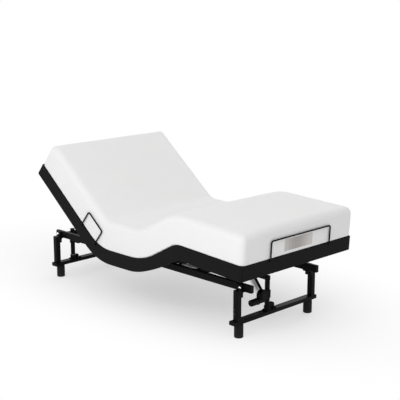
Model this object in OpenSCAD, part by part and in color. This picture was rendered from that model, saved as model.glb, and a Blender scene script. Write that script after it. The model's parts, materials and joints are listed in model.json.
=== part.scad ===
// Adjustable bed base with a four-section deck, lift columns and mattress.
// X runs across the bed, +Y towards the head, +Z up. The origin lies on the floor,
// below the middle of the bed's outline. It is drawn with the back and knees raised.

/* [Deck] */
// Width over the upholstered side walls
deck_w = 965; // [900:5:1100]
// Length of the back section, hinge to head end
back_len = 745; // [700:1:800]
// Length of the fixed seat section, hinge to hinge
seat_len = 433; // [420:1:480]
// Length of the thigh section, hinge to knee
thigh_len = 325; // [320:1:340]
// Length of the calf section, knee to foot end
calf_len = 509; // [500:1:560]
// Height of the upholstered side walls
deck_t = 88; // [84:1:96]
// Thickness of the padded side walls
wall_t = 22; // [16:1:30]
// Thickness of the plywood boards
board_t = 18; // [12:1:20]
// Radius of the deck's corners seen from above
deck_corner = 10; // [6:1:20]

/* [Mattress] */
// Thickness of the mattress
mattress_t = 188; // [120:2:250]
// How far the mattress stays inside the deck's sides
mattress_inset = 3; // [0:1:20]
// Radius of the mattress corners seen from above
mattress_corner = 42; // [20:5:90]

/* [Raised position] */
// Slope of the back section
back_angle = 39; // [36:0.5:42]
// Slope of the thigh section
thigh_angle = 28.7; // [26:0.1:31]
// Slope of the calf section
calf_angle = 3.2; // [2:0.1:5]
// Steepest slope of the back section
back_max = 60; // [60:1:64]
// Steepest slope of the thigh section
thigh_max = 34.7; // [34:0.1:36]

/* [Chassis] */
// Length of the side rails
rail_len = 1793; // [1780:1:1860]
// Width over the outer faces of the two rails
rail_span = 600; // [580:2:610]
// Height of a rail
rail_h = 44; // [40:1:50]
// Width of a rail
rail_w = 24; // [20:1:30]
// Wall of the rails and crossbars
steel_wall = 2.5; // [2:0.5:4]
// Distance from the deck's foot end to the rails
rail_setback = 98; // [90:1:110]
// Depth of a crossbar between the rails
crossbar_d = 25; // [20:1:30]

/* [End frames] */
// Height of the round feet
foot_h = 81; // [70:1:100]
// Diameter of the round feet
foot_d = 54; // [40:1:60]
// Distance between the feet across the bed
foot_span = 615; // [590:1:640]
// Length of the cross tubes
cross_len = 724; // [716:2:760]
// Depth of the cross tubes
cross_d = 49; // [44:1:56]
// Height of the cross tubes
cross_h = 24; // [20:1:30]
// Distance from the deck's foot end to the foot cross tube's middle
foot_cross_y = 178; // [172:1:184]
// Distance between the two cross tubes
cross_gap = 1668; // [1650:1:1690]
// Width of the square outer posts
post_w = 35; // [34:1:40]
// Length of the outer posts
post_len = 176; // [165:1:178]
// Gap between rail and post
post_gap = 11; // [8:1:14]

/* [Lift] */
// Diameter of the lift columns
column_d = 30; // [28:1:34]
// Diameter of the sliding rods
rod_d = 20; // [16:1:22]
// Place of the foot column across the bed
foot_column_x = -67; // [-80:1:-50]
// Place of the head column across the bed
head_column_x = -200; // [-210:1:-170]
// Diameter of the motors
motor_d = 39; // [34:1:42]
// Length of the lift motors
motor_l = 64; // [50:1:80]

/* [Section drive] */
// Length of the back's lift arms
arm_len = 300; // [290:1:310]
// Diameter of the arms' rollers
arm_roller_d = 36; // [32:1:40]
// Length of the lever that turns the lift arms
lever_len = 90; // [86:1:96]
// Diameter of the leg drive's roller
leg_roller_d = 30; // [26:1:34]
// Slope of the leg drive
leg_drive_angle = 52; // [51.5:0.5:53]
// Diameter of the drive tubes
drive_tube_d = 28; // [26:1:34]

/* [Retainers] */
// Diameter of the retainer rods
bar_d = 9; // [7:0.5:12]
// Width of the foot retainer
foot_bar_w = 516; // [400:2:600]
// Height of the foot retainer above the deck
foot_bar_h = 106; // [86:1:136]
// Width of a side retainer
side_bar_w = 163; // [121:2:201]
// Height of a side retainer above the deck
side_bar_h = 120; // [100:1:140]

/* [Hidden] */
$fn = 48;
fit = 0.3;           // gap between pieces that only lie on each other
run = 0.06;          // radial clearance of pins and sliding rods
steel = [0.09, 0.09, 0.095];
fabric = [0.13, 0.13, 0.13];

pad_t = deck_t / 2 - 8 - board_t;      // padding over the boards
board_z = 8;                           // board's underside above the hinge line
seat_strap = 3;                        // straps that carry the seat on the rails
strap_t = 2.5;                         // straps and wear strips under the other boards
cross_top = foot_h + cross_h;
rail_z = cross_top + post_len - 7.5;   // underside of the rails
rail_top = rail_z + rail_h;
hinge_z = rail_top + seat_strap - board_z;

// Hinge points in the bed's side view, as [y, z]
function along(p, len, slope) = [p[0] + len * cos(slope), p[1] + len * sin(slope)];
seat_hinge = [calf_len * cos(calf_angle) + thigh_len * cos(thigh_angle), hinge_z];
back_hinge = [seat_hinge[0] + seat_len, hinge_z];
knee = along(seat_hinge, thigh_len, 180 - thigh_angle);

// Outline of the whole bed along Y
y_low = -(bar_d / 2 + 3) * cos(calf_angle) - (deck_t / 2 + foot_bar_h) * sin(calf_angle) - bar_d / 2;
y_high = rail_setback + rail_len + 3;
origin_y = (y_low + y_high) / 2;

rail_in = rail_span / 2 - rail_w;
bar_in = rail_span / 2 + 30;           // section side bars
strap_edge = 60;                       // a section's end strap from its end
bar_w = 25;
bar_h = 25;
lug_r = 12;
lug_t = 6;
pin_r = 5;
half = deck_t / 2;
inner_w = deck_w - 2 * wall_t;
inner_corner = max(deck_corner - wall_t, 3);
knuckle_gap = 0.4;
board_end = 22;                        // boards stop this far from a hinge

post_x = rail_span / 2 + post_gap + post_w / 2;
head_cross_y = foot_cross_y + cross_gap;
foot_post_y = foot_cross_y - cross_d / 2 + post_w / 2;
head_post_y = head_cross_y + cross_d / 2 - post_w / 2;

// Lift arms under the back section
arm_drop = 52;
arm_pivot = [back_hinge[0] - 100, back_hinge[1] - arm_drop];
arm_roller_r = arm_roller_d / 2;
arm_offset = board_z - strap_t - arm_roller_r - fit;
arm_slope = back_angle + asin((arm_offset - 100 * sin(back_angle) + arm_drop * cos(back_angle)) / arm_len);
lever_slope = 5.7;

// Leg drive: it pushes a roller against the thigh section
leg_pivot = [seat_hinge[0] - 505, hinge_z - 194.5];
leg_roller_r = leg_roller_d / 2;
leg_offset = board_z - strap_t - leg_roller_r - fit;
leg_dy = leg_pivot[0] - seat_hinge[0];
leg_dz = leg_pivot[1] - seat_hinge[1];
leg_reach = (leg_offset - leg_dy * sin(thigh_angle) - leg_dz * cos(thigh_angle))
    / (cos(leg_drive_angle) * sin(thigh_angle) + sin(leg_drive_angle) * cos(thigh_angle));

// Calf links hold the calf section's foot end
link_from_knee = calf_len - 59;
link_drop = 10;
link_anchor = [knee[0] - link_from_knee * cos(calf_angle) + link_drop * sin(calf_angle),
               knee[1] - link_from_knee * sin(calf_angle) - link_drop * cos(calf_angle)];
link_pivot = [seat_hinge[0] - calf_len - 29, hinge_z - 13];
link_slope = atan2(link_anchor[1] - link_pivot[1], link_anchor[0] - link_pivot[0]);
link_len = norm(link_anchor - link_pivot);

// ---------------------------------------------------------------- placing

// The whole bed is shifted so that its origin lies below its middle.
module bed() translate([0, -origin_y, 0]) children();

module at(p) translate([0, p[0], p[1]]) children();

// Section frames: origin at the hinge, Y along the section, Z away from its underside.
module on_back() at(back_hinge) rotate([back_angle, 0, 0]) children();
module on_seat() at(seat_hinge) children();
module on_thigh() at(seat_hinge) rotate([-thigh_angle, 0, 0]) children();
module on_calf() at(knee) rotate([calf_angle, 0, 0]) children();

module both_sides() {
    children();
    mirror([1, 0, 0]) children();
}

// A box given by its lowest corner and its highest corner
module block(low, high) translate(low) cube(high - low);

// An outline in the side view, extruded along X from x to x + thick
module side_plate(x, thick) translate([x, 0, 0]) rotate([90, 0, 90]) linear_extrude(thick) children();

module rod_x(p, r, x0, x1) translate([x0, p[0], p[1]]) rotate([0, 90, 0]) cylinder(r = r, h = x1 - x0);

module rounded(w, h, r) {
    square([w - 2 * r, h], center = true);
    square([w, h - 2 * r], center = true);
    for (x = [-1, 1], y = [-1, 1]) translate([x * (w / 2 - r), y * (h / 2 - r)]) circle(r);
}

module tube_outline(w, h, wall, r = 4) difference() {
    rounded(w, h, r);
    rounded(w - 2 * wall, h - 2 * wall, max(r - wall, 0.8));
}

// ---------------------------------------------------------------- end frames

module cross_tube(y) color(steel) translate([0, y, foot_h + cross_h / 2]) rotate([90, 0, 90])
    linear_extrude(cross_len - 4, center = true) tube_outline(cross_d, cross_h, steel_wall);

module tube_plugs(y) color([0.05, 0.05, 0.05]) both_sides()
    translate([cross_len / 2 - 2, y, foot_h + cross_h / 2]) rotate([90, 0, 90]) {
        linear_extrude(2) rounded(cross_d, cross_h, 4);
        translate([0, 0, -16]) linear_extrude(16)
            rounded(cross_d - 2 * steel_wall - fit, cross_h - 2 * steel_wall - fit, 1.5);
    }

module feet(y) color([0.07, 0.07, 0.07]) both_sides() translate([foot_span / 2, y, 0])
    rotate_extrude() polygon([[0, 0], [foot_d / 2 - 3, 0], [foot_d / 2, 3], [foot_d / 2, foot_h - 5],
                              [foot_d / 2 - 2, foot_h - 3], [foot_d / 2 - 2, foot_h], [0, foot_h]]);

inner_leg_w = post_w - 2 * steel_wall - 5;
module inner_legs(y) color([0.35, 0.36, 0.37]) both_sides() translate([post_x, y, cross_top])
    linear_extrude(post_len - 14) tube_outline(inner_leg_w, inner_leg_w, 2, 3);

module posts(y) color(steel) both_sides() difference() {
    translate([post_x, y, cross_top + 0.5]) {
        linear_extrude(post_len) tube_outline(post_w, post_w, steel_wall);
        translate([0, 0, post_len]) linear_extrude(2.5) rounded(post_w, post_w, 4);
    }
    screw_shanks(y, 3.05);
}

module bushes(y) color([0.8, 0.8, 0.78]) both_sides() difference() {
    translate([post_x, y, cross_top + 1]) linear_extrude(bush_len) difference() {
        rounded(post_w - 2 * steel_wall - 0.1, post_w - 2 * steel_wall - 0.1, 1.5);
        rounded(inner_leg_w + 2 * run, inner_leg_w + 2 * run, 3);
    }
    screw_shanks(y, 3.05);
}

// Two screws through each post's outer face hold its bush
screw_z = [45, 69];
bush_len = screw_z[1] + 14;
module screw_shanks(y, r) for (z = screw_z)
    rod_x([y, cross_top + z], r, post_x + post_w / 2 - 4.5, post_x + post_w / 2 + 0.5);

module screws(y) color([0.2, 0.2, 0.21]) both_sides() {
    screw_shanks(y, 3);
    for (z = screw_z) rod_x([y, cross_top + z], 7, post_x + post_w / 2, post_x + post_w / 2 + 6);
}

// ---------------------------------------------------------------- lift columns

gear_r = 34;
gear_t = 32;
gear_shift = 42;     // gear housing's middle from the column's axis
gear_boss = gear_r + 6;
column_top = rail_top - 32;

// Bracket on a cross tube: foot plate, socket for the column and a rounded rib
module column_base(x, y, r, rib) color(steel) translate([x, y, cross_top]) {
    difference() {
        union() {
            translate([-20, -20, 0]) cube([62 + rib, 40, 5]);
            cylinder(r = column_d / 2 + 4, h = 26);
            rotate([90, 0, 0]) linear_extrude(12, center = true) {
                square([20 + rib, 26]);
                translate([16 + rib, rib]) circle(rib);
            }
        }
        translate([0, 0, 5]) cylinder(r = r + run, h = 60);
    }
    for (i = [-1, 1]) translate([34 + rib, i * 13, 5]) cylinder(r = 6, h = 6, $fn = 6);
}

// Column tube closed at one end and bored for its sliding rod
module column_tube(x, y, z0, z1, open_up) color(steel) translate([x, y, z0]) difference() {
    cylinder(r = column_d / 2, h = z1 - z0);
    translate([0, 0, open_up ? 8 : -8]) cylinder(r = rod_d / 2 + run, h = z1 - z0);
}

// Worm gear housing clamped round the column, with a round boss for the motor
module gearbox(x, y, z, side, motor_z) color([0.06, 0.06, 0.065]) translate([x, y, z]) difference() {
    union() {
        translate([side * gear_shift, 0, 0]) rotate([90, 0, 0]) {
            cylinder(r = gear_r, h = gear_t, center = true);
            cylinder(r = gear_r - 10, h = gear_t + 6, center = true);
        }
        translate([side * gear_shift / 2 - gear_shift / 2, -gear_t / 2, -22])
            cube([gear_shift, gear_t, 44]);
        cylinder(r = column_d / 2 + 5, h = 44, center = true);
        translate([side * gear_shift, 0, motor_z]) rotate([0, side * 90, 0]) cylinder(r = 18, h = gear_boss);
    }
    cylinder(r = column_d / 2 + run, h = 200, center = true);
}

module motor(x, y, z, side) color([0.05, 0.05, 0.05]) translate([x + side * (gear_shift + gear_boss), y, z])
    rotate([0, side * 90, 0]) rotate_extrude() polygon([[0, 0], [motor_d / 2 + 2, 0], [motor_d / 2 + 2, 6],
        [motor_d / 2, 6], [motor_d / 2, motor_l - 5], [motor_d / 2 - 4, motor_l], [0, motor_l]]);

// ---------------------------------------------------------------- chassis

module rail() color(steel) difference() {
    translate([rail_span / 2 - rail_w / 2, rail_setback, rail_z + rail_h / 2]) rotate([-90, 0, 0])
        linear_extrude(rail_len) tube_outline(rail_w, rail_h, steel_wall);
    rod_x(link_pivot, 6 + run, rail_in - 1, rail_in + 8);
    rod_x(post_bolt(0), 6 + run, rail_span / 2 - 10, rail_span / 2 + 1);
    rod_x(post_bolt(1), 6 + run, rail_span / 2 - 10, rail_span / 2 + 1);
}

module rail_caps() color([0.05, 0.05, 0.05]) both_sides() for (end = [0, 1])
    translate([rail_span / 2 - rail_w / 2, rail_setback + end * rail_len, rail_z + rail_h / 2])
        mirror([0, end, 0]) rotate([-90, 0, 0]) {
            linear_extrude(15) rounded(rail_w - 2 * steel_wall - fit, rail_h - 2 * steel_wall - fit, 1.3);
            translate([0, 0, -3]) linear_extrude(3) rounded(rail_w, rail_h, 4);
        }

module crossbar(y, low = 2, high = rail_h - 2) color(steel)
    translate([0, y, rail_z + (low + high) / 2]) rotate([90, 0, 90])
        linear_extrude(2 * rail_in, center = true) tube_outline(crossbar_d, high - low, steel_wall);

function post_bolt(end) = [end == 0 ? foot_post_y : head_post_y + 14, rail_z + rail_h / 2];

// Angle bracket between a post and its rail: an upright plate, a shelf below the rail and a gusset
module post_bracket(y, end) color(steel) both_sides() {
    difference() {
        block([rail_span / 2, y - post_w / 2, rail_z - 34],
              [rail_span / 2 + post_gap, y + post_w / 2 + 8, rail_top - 4]);
        rod_x(post_bolt(end), 6 + run, rail_span / 2 - 1, rail_span / 2 + post_gap + 1);
    }
    block([rail_in, y - post_w / 2, rail_z - 6], [rail_span / 2 + 0.1, y + post_w / 2 + 8, rail_z]);
    translate([0, y, 0]) rotate([90, 0, 0]) linear_extrude(5, center = true)
        polygon([[rail_in + 4, rail_z - 5.9], [rail_span / 2 + 0.1, rail_z - 5.9],
                 [rail_span / 2 + 0.1, rail_z - 32]]);
}

// Dome-headed bolt along X through bracket and rail
module bolt(p) color([0.75, 0.75, 0.76]) both_sides() {
    rod_x(p, 6, rail_span / 2 - 9, rail_span / 2 + post_gap + 0.1);
    translate([rail_span / 2 + post_gap, p[0], p[1]]) rotate([0, 90, 0])
        rotate_extrude() intersection() {
            translate([0, -8]) circle(13);
            square([12, 12]);
        }
}

// ---------------------------------------------------------------- deck sections

// Corner that closes when the neighbouring section swings by up to turn.
// The neighbour lies towards side; the corner closes above (up = 1) or below (up = -1).
module corner_cut(side, up, turn) translate([-deck_w, 0, 0]) rotate([90, 0, 90]) linear_extrude(2 * deck_w)
    rotate(up * side * turn / 2)
        translate([side > 0 ? 0 : -400, up > 0 ? 0 : -400]) square(400);

module side_bars(y0, y1) both_sides() block([bar_in, y0, board_z - bar_h], [bar_in + bar_w, y1, board_z]);

module strap(y, thick) block([-bar_in - 0.5, y - 20, board_z - thick], [bar_in + 0.5, y + 20, board_z]);

// Hinge lug on the end of a side bar that lies towards dir from the pin
bar_gap = 15;
module lug(x, dir) both_sides() difference() {
    side_plate(x, lug_t) {
        circle(lug_r);
        translate([dir > 0 ? 0 : -bar_gap - 1, -lug_r]) square([bar_gap + 1, 2 * lug_r - 4]);
    }
    rod_x([0, 0], pin_r + run, x - 1, x + lug_t + 1);
}
lug_a = bar_in;
lug_b = bar_in + lug_t + 0.5;

module pins() color([0.6, 0.6, 0.62]) both_sides() {
    rod_x([0, 0], pin_r, lug_a - 4, lug_b + lug_t + 4);
    rod_x([0, 0], pin_r + 3, lug_a - 4, lug_a - 0.3);
    rod_x([0, 0], pin_r + 3, lug_b + lug_t + 0.3, lug_b + lug_t + 4);
}

// Plywood board, its corners at a closed end rounded like the upholstery
module board(y0, y1, end) color([0.75, 0.62, 0.44]) translate([0, 0, board_z])
    linear_extrude(board_t) plan(inner_w - 2 * fit, y0, y1, inner_corner, end);

// Upholstery seen from above: straight at both ends, or rounded and closed at one end
module plan(w, y0, y1, r, end) {
    if (end == 0) translate([-w / 2, y0]) square([w, y1 - y0]);
    if (end != 0) {
        translate([0, (y0 + y1) / 2]) rounded(w, y1 - y0, r);
        translate([-w / 2, end > 0 ? y0 : (y0 + y1) / 2]) square([w, (y1 - y0) / 2]);
    }
}

// Side walls and the padding over the board, one upholstered piece
module cover(y0, y1, end) color(fabric) difference() {
    translate([0, 0, -half]) linear_extrude(deck_t) plan(deck_w, y0, y1, deck_corner, end);
    translate([0, 0, -half - 1]) linear_extrude(deck_t + 1 - pad_t + fit)
        plan(inner_w, end < 0 ? y0 + wall_t : y0 - 1, end > 0 ? y1 - wall_t : y1 + 1, inner_corner, end);
    children();
}

module mattress(y0, y1, end) color([0.95, 0.95, 0.95]) difference() {
    translate([0, 0, half + fit]) linear_extrude(mattress_t)
        plan(deck_w - 2 * mattress_inset, y0, y1, mattress_corner, end);
    children();
}

back_turn = back_max;
knee_bend = thigh_max * (thigh_angle + calf_angle) / thigh_angle;

// Bent rod whose two legs turn into the deck's edge below its top
bar_out = bar_d / 2 + 3;   // rod's axis from the deck's edge, and radius of its lower bends
bar_root = 9;              // depth of the rod's ends below the deck's top
bar_plug = wall_t - 5;     // how far the ends go into the edge
module bent_rod(w, h, r = 14) {
    low = bar_out - bar_root;
    for (i = [-1, 1]) {
        translate([i * w / 2, 0, low]) cylinder(d = bar_d, h = h - r - low);
        translate([i * (w / 2 - r), 0, h - r]) rotate([90, 0, 0]) rotate(i > 0 ? 0 : 90)
            rotate_extrude(angle = 90) translate([r, 0]) circle(d = bar_d);
        translate([i * w / 2, bar_out, low]) rotate([90, 0, 90]) rotate(180)
            rotate_extrude(angle = 90) translate([bar_out, 0]) circle(d = bar_d);
        translate([i * w / 2, bar_out, -bar_root]) rotate([-90, 0, 0]) cylinder(d = bar_d, h = bar_plug);
    }
    translate([-w / 2 + r, 0, h]) rotate([0, 90, 0]) cylinder(d = bar_d, h = w - 2 * r);
}

// Holes in the deck's edge for a rod's two ends
module bar_holes(w) for (i = [-1, 1])
    translate([i * w / 2, bar_out - 1, -bar_root]) rotate([-90, 0, 0])
        cylinder(d = bar_d + 2 * fit, h = bar_plug + 1 + fit);

module at_side_retainer() translate([deck_w / 2 + bar_out, 132, half]) rotate([0, 0, 90]) children();
module at_foot_retainer() translate([0, -calf_len - bar_out, half]) children();

// ---------------------------------------------------------------- end frame nodes

module foot_cross_tube() cross_tube(foot_cross_y);
module foot_tube_plugs() tube_plugs(foot_cross_y);
module foot_end_feet() feet(foot_cross_y);
module foot_inner_legs() inner_legs(foot_post_y);
module foot_column_base() column_base(foot_column_x, foot_cross_y, column_d / 2, 21);
module foot_lift_tube() column_tube(foot_column_x, foot_cross_y, cross_top + 5, rail_top - 32, true);
module foot_lift_gearbox() gearbox(foot_column_x, foot_cross_y, cross_top + 99, -1, -27);
module foot_lift_motor() motor(foot_column_x, foot_cross_y, cross_top + 72, -1);

module head_cross_tube() cross_tube(head_cross_y);
module head_tube_plugs() tube_plugs(head_cross_y);
module head_end_feet() feet(head_cross_y);
module head_inner_legs() inner_legs(head_post_y);
module head_column_base() column_base(head_column_x, head_cross_y, rod_d / 2, 14);
module head_lift_rod() color([0.7, 0.7, 0.72]) translate([head_column_x, head_cross_y, cross_top + 5])
    cylinder(d = rod_d, h = 185);

// ---------------------------------------------------------------- chassis nodes

module side_rails() both_sides() rail();
module rail_end_caps() rail_caps();
crossbar_y = [foot_cross_y + 109, seat_hinge[0] - 241, seat_hinge[0] + 37, back_hinge[0] - 160];
module crossbars() for (y = crossbar_y) crossbar(y);
module head_crossbar() crossbar(head_cross_y + 32.5, -8, 17);

module outer_posts() {
    posts(foot_post_y);
    posts(head_post_y);
}
module glide_bushes() {
    bushes(foot_post_y);
    bushes(head_post_y);
}
module glide_screws() {
    screws(foot_post_y);
    screws(head_post_y);
}
module post_brackets() {
    post_bracket(foot_post_y, 0);
    post_bracket(head_post_y, 1);
}
module bracket_bolts() {
    bolt(post_bolt(0));
    bolt(post_bolt(1));
}

// Sliding rod of the foot column with the arm that carries the foot crossbar
module foot_lift_rod() color(steel) translate([foot_column_x, foot_cross_y, 0]) {
    translate([0, 0, cross_top + 25]) cylinder(d = rod_d, h = rail_top - 25 - cross_top - 25);
    translate([0, 0, rail_top - 28]) cylinder(r = 17, h = 22);
    translate([-12, 0, rail_top - 28]) cube([24, 109 - crossbar_d / 2, 22]);
}

module head_lift_tube() {
    column_tube(head_column_x, head_cross_y, cross_top + 30, rail_top, false);
    color(steel) translate([head_column_x - 12, head_cross_y + 12, rail_z - 6])
        cube([24, 32.5 - 12 - crossbar_d / 2, 22]);
}
module head_lift_gearbox() gearbox(head_column_x, head_cross_y, rail_z - 33, 1, 15);
module head_lift_motor() motor(head_column_x, head_cross_y, rail_z - 18, 1);

// Plates below the rails in which the lift arms' torsion tube turns
module torsion_brackets() color(steel) both_sides() difference() {
    side_plate(rail_in - 8, 8) {
        translate(arm_pivot) circle(24);
        translate([arm_pivot[0] - 24, arm_pivot[1]]) square([48, rail_top - 6 - arm_pivot[1]]);
    }
    rod_x(arm_pivot, 8 + run, rail_in - 9, rail_in + 1);
}

module control_box() color([0.06, 0.06, 0.06])
    translate([rail_in - 176, crossbar_y[2] + crossbar_d / 2, rail_z - 4]) {
    cube([150, 95, 38]);
    translate([12, 14, -4]) cube([126, 70, 5]);
}

// Drive that turns the lift arms: tube, end housing and two hangers on the crossbars
back_drive_x = 60;
far_hanger_y = crossbar_y[3] - 48;
hanger_half = 34;
lever_tip = arm_pivot + lever_len * [sin(lever_slope), -cos(lever_slope)];
drive_z = arm_pivot[1] - lever_len + 2.5;
module back_drive() color([0.3, 0.31, 0.32]) difference() {
    translate([back_drive_x, 0, drive_z]) rotate([-90, 0, 0]) {
        translate([0, 0, seat_hinge[0] - 30]) cylinder(d = 52, h = 90);
        translate([0, 0, seat_hinge[0] + 59])
            cylinder(d = drive_tube_d + 6, h = far_hanger_y + 24 - seat_hinge[0] - 59);
    }
    translate([back_drive_x, seat_hinge[0] + 80, drive_z]) rotate([-90, 0, 0])
        cylinder(r = rod_d / 2 + run, h = 400);
}
module drive_hanger(y, r) difference() {
    block([back_drive_x - hanger_half, y - 4, drive_z - r - 8], [back_drive_x + hanger_half, y + 4, rail_z + 2]);
    translate([back_drive_x, y - 9, drive_z]) rotate([-90, 0, 0]) cylinder(r = r + 0.05, h = 20);
}

// Hangers of the back drive, and the plate from the leg crossbar down to the leg drive's pivot
leg_x = 15;          // leg drive's middle across the bed
hanger_x = leg_x + 24;
module drive_hangers() color(steel) {
    drive_hanger(crossbar_y[2], 26);
    drive_hanger(far_hanger_y, drive_tube_d / 2 + 3);
    block([back_drive_x - hanger_half, far_hanger_y, rail_z - 4],
          [back_drive_x + hanger_half, crossbar_y[3] + crossbar_d / 2, rail_z + 2]);
    difference() {
        side_plate(hanger_x, 8) {
            translate(leg_pivot) circle(22);
            polygon([leg_pivot + [-9, 9], leg_pivot + [9, -9], leg_pivot + [129, 146],
                     [crossbar_y[1] - crossbar_d / 2, rail_z + 6],
                     [crossbar_y[1] - crossbar_d / 2, rail_top - 4], leg_pivot + [123, 176]]);
        }
        rod_x(leg_pivot, 6 + run, hanger_x - 1, hanger_x + 9);
    }
}

module seat_frame() on_seat() color(steel) {
    side_bars(bar_gap, seat_len - bar_gap);
    for (y = [70, seat_len / 2, seat_len - 70]) strap(y, seat_strap);
    lug(lug_a, 1);
    translate([0, seat_len, 0]) lug(lug_a, -1);
}
module seat_board() on_seat() board(board_end, seat_len - board_end, 0);
module seat_cover() on_seat() cover(knuckle_gap / 2, seat_len - knuckle_gap / 2, 0) {
    corner_cut(-1, 1, thigh_max);
    translate([0, seat_len, 0]) corner_cut(1, 1, back_turn);
}
module seat_mattress() on_seat() mattress(knuckle_gap / 2, seat_len - knuckle_gap / 2, 0) {
    corner_cut(-1, 1, thigh_max);
    translate([0, seat_len, 0]) corner_cut(1, 1, back_turn);
}
module hinge_pins() on_seat() {
    pins();
    translate([0, seat_len, 0]) pins();
}

// ---------------------------------------------------------------- back nodes

module back_frame() on_back() color(steel) {
    side_bars(bar_gap, back_len - wall_t - 6);
    for (y = [0.65 * arm_len, 0.54 * back_len, back_len - strap_edge]) strap(y, strap_t);
    lug(lug_b, 1);
}
module back_board() on_back() board(board_end, back_len - wall_t - fit, 1);
module back_cover() on_back() cover(knuckle_gap / 2, back_len, 1) {
    corner_cut(-1, 1, back_turn);
    both_sides() at_side_retainer() bar_holes(side_bar_w);
}
module back_mattress() on_back() mattress(knuckle_gap / 2, back_len - 1, 1) corner_cut(-1, 1, back_turn);
module side_retainers() on_back() color(steel) both_sides()
    at_side_retainer() bent_rod(side_bar_w, side_bar_h);

// A flat bar in the side view from a to b, rounded at b
module flat_bar(a, b, w) {
    translate(a) rotate(atan2(b[1] - a[1], b[0] - a[0])) translate([0, -w / 2]) square([norm(b - a), w]);
    translate(b) circle(w / 2 + 2);
}

// Torsion tube with two cranked lift arms and the lever of the back drive.
// The arms bend down so that they pass below the back section's hinge.
arm_crank = [arm_len * 0.35, -58];
module back_lift_arm() color(steel) at(arm_pivot) {
    difference() {
        rod_x([0, 0], 17, 9 - rail_in, rail_in - 9);
        rod_x([0, 0], 14, 14 - rail_in, rail_in - 14);
    }
    both_sides() rod_x([0, 0], 8, rail_in - 10, rail_in - 1);
    rotate([arm_slope, 0, 0]) both_sides() {
        difference() {
            side_plate(196, 10) {
                circle(24);
                flat_bar([0, 0], arm_crank, 28);
                flat_bar(arm_crank, [arm_len, 0], 26);
            }
            rod_x([0, 0], 15.5, 190, 210);
        }
        rod_x([arm_len, 0], 6, 205, 240);
    }
    rotate([lever_slope, 0, 0]) {
        difference() {
            side_plate(back_drive_x - 5, 10) {
                circle(24);
                flat_bar([0, 0], [0, -lever_len], 20);
            }
            rod_x([0, 0], 15.5, back_drive_x - 10, back_drive_x + 10);
        }
        rod_x([0, -lever_len], 5, back_drive_x - 16, back_drive_x + 16);
    }
}
module back_arm_rollers() color([0.85, 0.85, 0.83]) at(arm_pivot) rotate([arm_slope, 0, 0]) both_sides()
    difference() {
        rod_x([arm_len, 0], arm_roller_r, 207, 237);
        rod_x([arm_len, 0], 6 + run, 206, 238);
    }

// Rod of the back drive: its forked yoke has an upright slot for the lever's pin
module back_drive_rod() color([0.7, 0.7, 0.72]) {
    translate([back_drive_x, seat_hinge[0] + 130, drive_z]) rotate([-90, 0, 0])
        cylinder(d = rod_d, h = lever_tip[0] - 28 - seat_hinge[0] - 130);
    translate([back_drive_x, lever_tip[0], drive_z]) difference() {
        block([-14, -30, -16], [14, 12, 16]);
        block([-6.5, -21, -17], [6.5, 13, 17]);
        block([-20, -5.6, -9], [20, 5.6, 9]);
    }
}

// ---------------------------------------------------------------- thigh nodes

module thigh_frame() on_thigh() color(steel) {
    side_bars(bar_gap - thigh_len, -bar_gap);
    for (y = [38 - thigh_len, -strap_edge]) strap(y, strap_t);
    lug(lug_b, -1);
    translate([0, -thigh_len, 0]) lug(lug_a, 1);
}
module thigh_board() on_thigh() board(board_end - thigh_len, -board_end, 0);
module thigh_cover() on_thigh() cover(knuckle_gap / 2 - thigh_len, -knuckle_gap / 2, 0) {
    corner_cut(1, 1, thigh_max);
    translate([0, -thigh_len, 0]) corner_cut(-1, -1, knee_bend);
}
module thigh_mattress() on_thigh() mattress(knuckle_gap / 2 - thigh_len, -knuckle_gap / 2, 0)
    corner_cut(1, 1, thigh_max);
module knee_pins() at(knee) pins();

// ---------------------------------------------------------------- calf nodes

// Ears below a strap carry the pins of the calf links
module calf_frame() on_calf() color(steel) {
    side_bars(wall_t + 6 - calf_len, -bar_gap);
    for (y = [-link_from_knee, -(link_from_knee + strap_edge - 10) / 2, -strap_edge]) strap(y, strap_t);
    lug(lug_b, -1);
    both_sides() {
        side_plate(rail_in - 18, 6) translate([-link_from_knee, 0]) {
            translate([0, -link_drop]) circle(12);
            translate([-12, -link_drop]) square([24, link_drop + board_z - 0.5]);
        }
        rod_x([-link_from_knee, -link_drop], 5, rail_in - 13, rail_in - 3);
    }
}
module calf_board() on_calf() board(wall_t + fit - calf_len, -board_end, -1);
module calf_cover() on_calf() cover(-calf_len, -knuckle_gap / 2, -1) {
    corner_cut(1, -1, knee_bend);
    at_foot_retainer() bar_holes(foot_bar_w);
}
module calf_mattress() on_calf() mattress(1 - calf_len, -knuckle_gap / 2, -1);
module mattress_label() on_calf() color([0.72, 0.69, 0.66])
    block([-137, 0.2 - calf_len, half + 16], [108, 0.95 - calf_len, half + 86]);
module foot_retainer() on_calf() color(steel) at_foot_retainer() bent_rod(foot_bar_w, foot_bar_h);

// Links between the rails and the calf section; their calf end has play
module calf_links() color(steel) both_sides() difference() {
    union() {
        side_plate(rail_in - 10, 6) translate(link_pivot) rotate(link_slope) {
            circle(12);
            translate([0, -10]) square([link_len, 20]);
            translate([link_len, 0]) circle(12);
        }
        rod_x(link_pivot, 6, rail_in - 9, rail_in + 7);
    }
    rod_x(link_anchor, 6.5, rail_in - 11, rail_in - 3);
}

// ---------------------------------------------------------------- leg drive nodes

module on_leg_drive() translate([leg_x, 0, 0]) at(leg_pivot)
    rotate([leg_drive_angle - 90, 0, 0]) children();

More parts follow.
